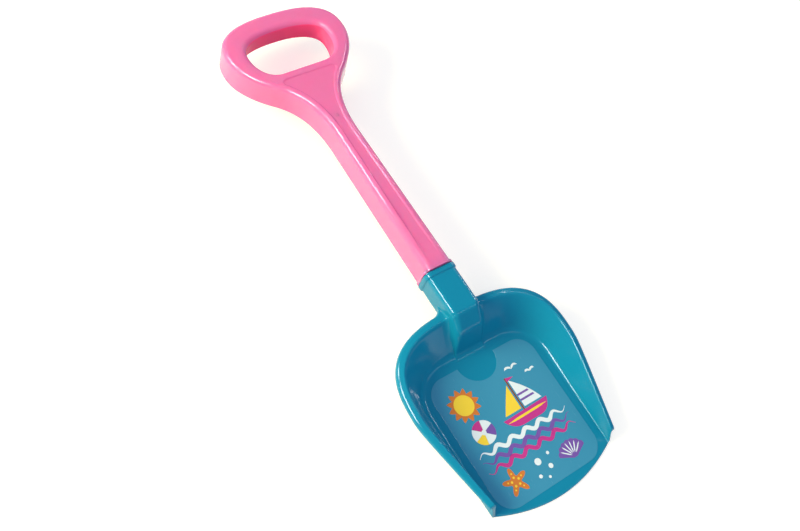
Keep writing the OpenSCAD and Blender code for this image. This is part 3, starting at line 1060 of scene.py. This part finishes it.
# The open back: rim, walls and ceiling of the hollow. Each pair is a move and a height.
end_wall_more = 0.8
hollow_path = [p.copy() for p in handle_path]
hollow_path[-1].y += end_wall_more
hollow_steps = [(0.3, 0), (0, 0.3), (0, hollow_d - 1), (-0.3, hollow_d - 0.3), (-1, hollow_d)]
hollow_rings = []
hole_wall_rings = []
for move, z in hollow_steps:
    inward = [move - handle_wall] * len(hollow_path)
    hollow_rings.append(half_ring(hollow_path, inward, [z] * len(hollow_path)))
    around_hole = [lean + handle_wall - move for lean in hole_leans]
    hole_wall_rings.append(half_ring(hole_path, around_hole, [z] * len(hole_path)))
hollow_rows = skin(handle_mesh, hollow_rings)
hole_wall_rows = skin(handle_mesh, hole_wall_rings)
for a, b in ((outer_rows[0], hollow_rows[0]), (hole_rows[0], hole_wall_rows[0])):
    for i in range(len(a)):
        handle_mesh.faces.new((a[i], a[i - 1], b[i - 1], b[i]))
fill_between(handle_mesh, hollow_rows[-1], hole_wall_rows[-1])


# Each pair is an inset of the rib's edge and a height
rib_profile = [(0.25, rib_sink), (0, rib_sink + 0.3), (0, hollow_d + 0.6)]


# A rib is a thin plate between two points of the plan, sunk into the walls at both ends
def add_rib(start, end):
    along = (end - start).normalized()
    across = flat_point(-along.y, along.x) * rib_t / 2
    rings = []
    for inset, z in rib_profile:
        narrow = across * (1 - 2 * inset / rib_t)
        level = up * (handle_z + z)
        corners = (start + narrow, end + narrow, end - narrow, start - narrow)
        rings.append([corner + level for corner in corners])
    closed_skin(handle_mesh, rings)


# Half width of the handle at a distance from the mouth, on the shaft and the web
def half_width(v):
    low = [p for p in handle_path if p.y <= v][0]
    high = [p for p in handle_path if p.y > v and p.y < widest][-1]
    return mix(low.x, high.x, (v - low.y) / (high.y - low.y))


rib_hold = 0.8
bite = handle_wall - rib_hold
for k in range(1, int(flare_reach / rib_pitch) + 1):
    v = rib_pitch * k + rib_t / 2
    x = half_width(v) - bite
    add_rib(flat_point(-x, v), flat_point(x, v))


grip_middle = flat_point(0, widest)


# How far from the middle of the grip a ray meets a whole outline
def ray_length(path, way):
    ring = path + [flipped(p) for p in reversed(path)]
    best = None
    for a, b in zip(ring, ring[1:]):
        p = a - grip_middle
        q = b - grip_middle
        side_p = way.x * p.y - way.y * p.x
        side_q = way.x * q.y - way.y * q.x
        if side_p * side_q <= 0 and side_p != side_q:
            hit = mix(p, q, side_p / (side_p - side_q))
            if hit.dot(way) > 0:
                best = hit.length
    return best


grip_rib_count = 6
grip_rib_first = -20
grip_rib_last = 200
for k in range(grip_rib_count):
    a = radians(mix(grip_rib_first, grip_rib_last, k / (grip_rib_count - 1)))
    way = flat_point(cos(a), sin(a))
    near = ray_length(hole_path, way) + hole_lean + bite
    far = ray_length(handle_path, way) - bite
    add_rib(grip_middle + way * near, grip_middle + way * far)

# Stop plate. Each pair is an inset and a place along the plate.
plate_profile = [(0.5, 0), (0.15, 0.15), (0, 0.5),
                 (0, stop_len - 0.8), (0.25, stop_len - 0.25), (0.8, stop_len)]
plate_rings = []
for inset, step in plate_profile:
    plate_rings.append(grown_ring(stop_w, stop_h, stop_r, stop_z, stop_start + step, -inset))
closed_skin(handle_mesh, plate_rings)

# Plug: an arch that is open at the back, closed by an end wall with softened edges
plug_top = plug_z + plug_h


# Section of the plug's arch at one place along it
def plug_arch(v):
    corner_x = plug_w / 2 - plug_r
    corner_z = plug_top - plug_r
    outer = []
    for side, start in ((1, 0), (-1, 90)):
        middle = flat_point(side * corner_x, corner_z)
        outer += [Vector((p.x, v, p.y)) for p in arc(middle, plug_r, start, start + 90, steps=6)]
    right = Vector((plug_w / 2, v, plug_z))
    inner_low = Vector((plug_w / 2 - handle_wall, v, plug_z))
    inner_high = inner_low + up * (plug_h - handle_wall)
    inside = [flipped(inner_low), flipped(inner_high), inner_high, inner_low]
    return [right] + outer + [flipped(right)] + inside


arch_start = -plug_len + 1.2
arch_end = stop_start + 1
closed_skin(handle_mesh, [plug_arch(arch_start), plug_arch(arch_end)])
# Each pair is an inset and a distance from the plug's end
plug_edge = [(0.8, 0), (0.25, 0.25), (0, 0.8), (0, handle_wall)]
end_rings = []
for inset, step in plug_edge:
    narrow = 2 * inset
    end_rings.append(bar_ring(plug_w - narrow, plug_h - narrow, plug_r, plug_z + inset, step - plug_len))
closed_skin(handle_mesh, end_rings)

# Gate mark: the small disc where the plastic entered the mould. Each pair is a radius and a height.
gate = flat_point(0, 169)
gate_profile = [(1.5, -0.1), (1.5, 0.12), (1.3, 0.22), (0.5, 0.24)]
panel_floor = handle_z + handle_d - panel_sink
gate_rings = []
for r, z in gate_profile:
    gate_rings.append([p + up * (panel_floor + z) for p in arc(gate, r, 0, 345, steps=23)])
closed_skin(handle_mesh, gate_rings)

pink_glow = (12, 2.5, 3.5)
pink = moulded_plastic("pink_gloss", screen(237, 122, 176), screen(233, 114, 169),
                       gloss=0.07, scuffs=0.06, shine=0.4, glow=pink_glow)
# Painted shade: a deeper pink with almost no shine for the wall of the hand hole
painted_shade_pink = moulded_plastic("pink_painted_shade", screen(255, 92, 150), screen(250, 84, 143),
                            gloss=0.2, scuffs=0.06, shine=0.02, glow=pink_glow)
handle = add_piece("handle_moulding", handle_mesh, [pink, painted_shade_pink])
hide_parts("handle")
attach(handle, "handle")

# Studio
# A plain pale table in a room with a dark ceiling. One large soft lamp on the left lights the shovel,
# and four more only show in its gloss. To the camera and in reflections the table and the horizon
# are white, and the table keeps the shadow.

table_mesh = bmesh.new()
table_half = 4000
table_verts = [table_mesh.verts.new((x * table_half, y * table_half, 0))
               for x, y in ((-1, -1), (1, -1), (1, 1), (-1, 1))]
table_mesh.faces.new(table_verts)


# One for rays from the camera, straight or by way of gloss or glass, and zero for all other rays
def seen_rays(nodes, links):
    path = nodes.new("ShaderNodeLightPath")
    either = nodes.new("ShaderNodeMath")
    either.operation = "MAXIMUM"
    links.new(path.outputs["Is Camera Ray"], either.inputs[0])
    links.new(path.outputs["Is Glossy Ray"], either.inputs[1])
    any_of = nodes.new("ShaderNodeMath")
    any_of.operation = "MAXIMUM"
    links.new(either.outputs[0], any_of.inputs[0])
    links.new(path.outputs["Is Transmission Ray"], any_of.inputs[1])
    return any_of.outputs[0]


# Pale paper that is lifted to white where it is seen
def table_paper():
    material = bpy.data.materials.new("table_paper")
    material.use_nodes = True
    nodes = material.node_tree.nodes
    links = material.node_tree.links
    nodes.clear()
    output = nodes.new("ShaderNodeOutputMaterial")
    paper = nodes.new("ShaderNodeBsdfDiffuse")
    paper.inputs["Color"].default_value = (0.68, 0.63, 0.55, 1)
    glow = nodes.new("ShaderNodeEmission")
    glow.inputs["Color"].default_value = (1, 1, 1, 1)
    lift = nodes.new("ShaderNodeMath")
    lift.operation = "MULTIPLY"
    lift.inputs[1].default_value = 0.57
    links.new(seen_rays(nodes, links), lift.inputs[0])
    links.new(lift.outputs[0], glow.inputs["Strength"])
    both = nodes.new("ShaderNodeAddShader")
    links.new(paper.outputs[0], both.inputs[0])
    links.new(glow.outputs[0], both.inputs[1])
    links.new(both.outputs[0], output.inputs["Surface"])
    return material


table = add_piece("table", table_mesh, [table_paper()])

world = bpy.data.worlds.new("studio")
bpy.context.scene.world = world
world.use_nodes = True
sky_nodes = world.node_tree.nodes
sky_links = world.node_tree.links
sky = sky_nodes["Background"]
# The room is white behind the shovel. In reflections it is white at the horizon and dark above it,
# and it lights the shovel evenly.
sky_path = sky_nodes.new("ShaderNodeLightPath")
sky_colour = sky_nodes.new("ShaderNodeMix")
sky_colour.data_type = "RGBA"
sky_colour.inputs["A"].default_value = (0.88, 0.96, 1.1, 1)
sky_colour.inputs["B"].default_value = (1, 1, 1, 1)
sky_links.new(sky_path.outputs["Is Camera Ray"], sky_colour.inputs["Factor"])
sky_links.new(sky_colour.outputs["Result"], sky.inputs["Color"])
way_up = sky_nodes.new("ShaderNodeSeparateXYZ")
sky_place = sky_nodes.new("ShaderNodeTexCoord")
sky_links.new(sky_place.outputs["Generated"], way_up.inputs["Vector"])
ceiling = sky_nodes.new("ShaderNodeMapRange")
ceiling.inputs["From Min"].default_value = 0.02
ceiling.inputs["From Max"].default_value = 0.1
ceiling.inputs["To Min"].default_value = 1
ceiling.inputs["To Max"].default_value = 0.08
sky_links.new(way_up.outputs["Z"], ceiling.inputs["Value"])
room = sky_nodes.new("ShaderNodeMix")
room.inputs["A"].default_value = 0.68
sky_links.new(seen_rays(sky_nodes, sky_links), room.inputs["Factor"])
behind = sky_nodes.new("ShaderNodeMix")
behind.inputs["B"].default_value = 1
sky_links.new(sky_path.outputs["Is Camera Ray"], behind.inputs["Factor"])
sky_links.new(ceiling.outputs["Result"], behind.inputs["A"])
sky_links.new(behind.outputs["Result"], room.inputs["B"])
sky_links.new(room.outputs["Result"], sky.inputs["Strength"])


# A soft lamp that faces a point on the table
def soft_lamp(name, place, aim, width, length, power):
    lamp = bpy.data.lights.new(name, "AREA")
    lamp.shape = "RECTANGLE"
    lamp.size = width
    lamp.size_y = length
    lamp.energy = power
    holder = bpy.data.objects.new(name, lamp)
    holder.location = place
    holder.rotation_euler = (Vector(aim) - Vector(place)).to_track_quat("-Z", "Y").to_euler()
    bpy.context.scene.collection.objects.link(holder)
    return holder


key = soft_lamp("lamp_key", (-1.45, 0.5, 0.82), (0, 0, 0), 1.0, 0.7, 37)
key.data.color = (1, 1, 0.6)
key.visible_glossy = False
# Lamps that only show in the gloss: two broad ones on the left, two thin ones on the right and in front
strips = [
    soft_lamp("strip_scoop", (-0.93, 0.06, 1.18), (0, 0.06, 0), 0.68, 0.45, 28),
    soft_lamp("strip_grip", (-0.93, 0.93, 1.18), (0, 0.93, 0), 0.64, 0.45, 26),
    soft_lamp("strip_right", (1.28, 0.45, 0.94), (0, 0.45, 0), 1.3, 0.08, 9),
    soft_lamp("strip_front", (0.7, -0.67, 1.17), (0.7, 0, 0), 1.2, 0.08, 1.2)]
for strip in strips:
    strip.visible_diffuse = False

# The camera stands where the photograph was taken from
lens = 39.1432
camera_place = Vector((-0.329043, -0.243871, 0.658736))
camera_turn = (28.4002, -12.5299, -32.6406)
camera_data = bpy.data.cameras.new("camera")
camera_data.sensor_width = 36
camera_data.lens = lens
camera_data.clip_start = 0.01
camera = bpy.data.objects.new("camera", camera_data)
camera.location = camera_place
camera.rotation_euler = [radians(a) for a in camera_turn]
bpy.context.scene.collection.objects.link(camera)
bpy.context.scene.camera = camera
bpy.context.scene.view_settings.view_transform = "Standard"
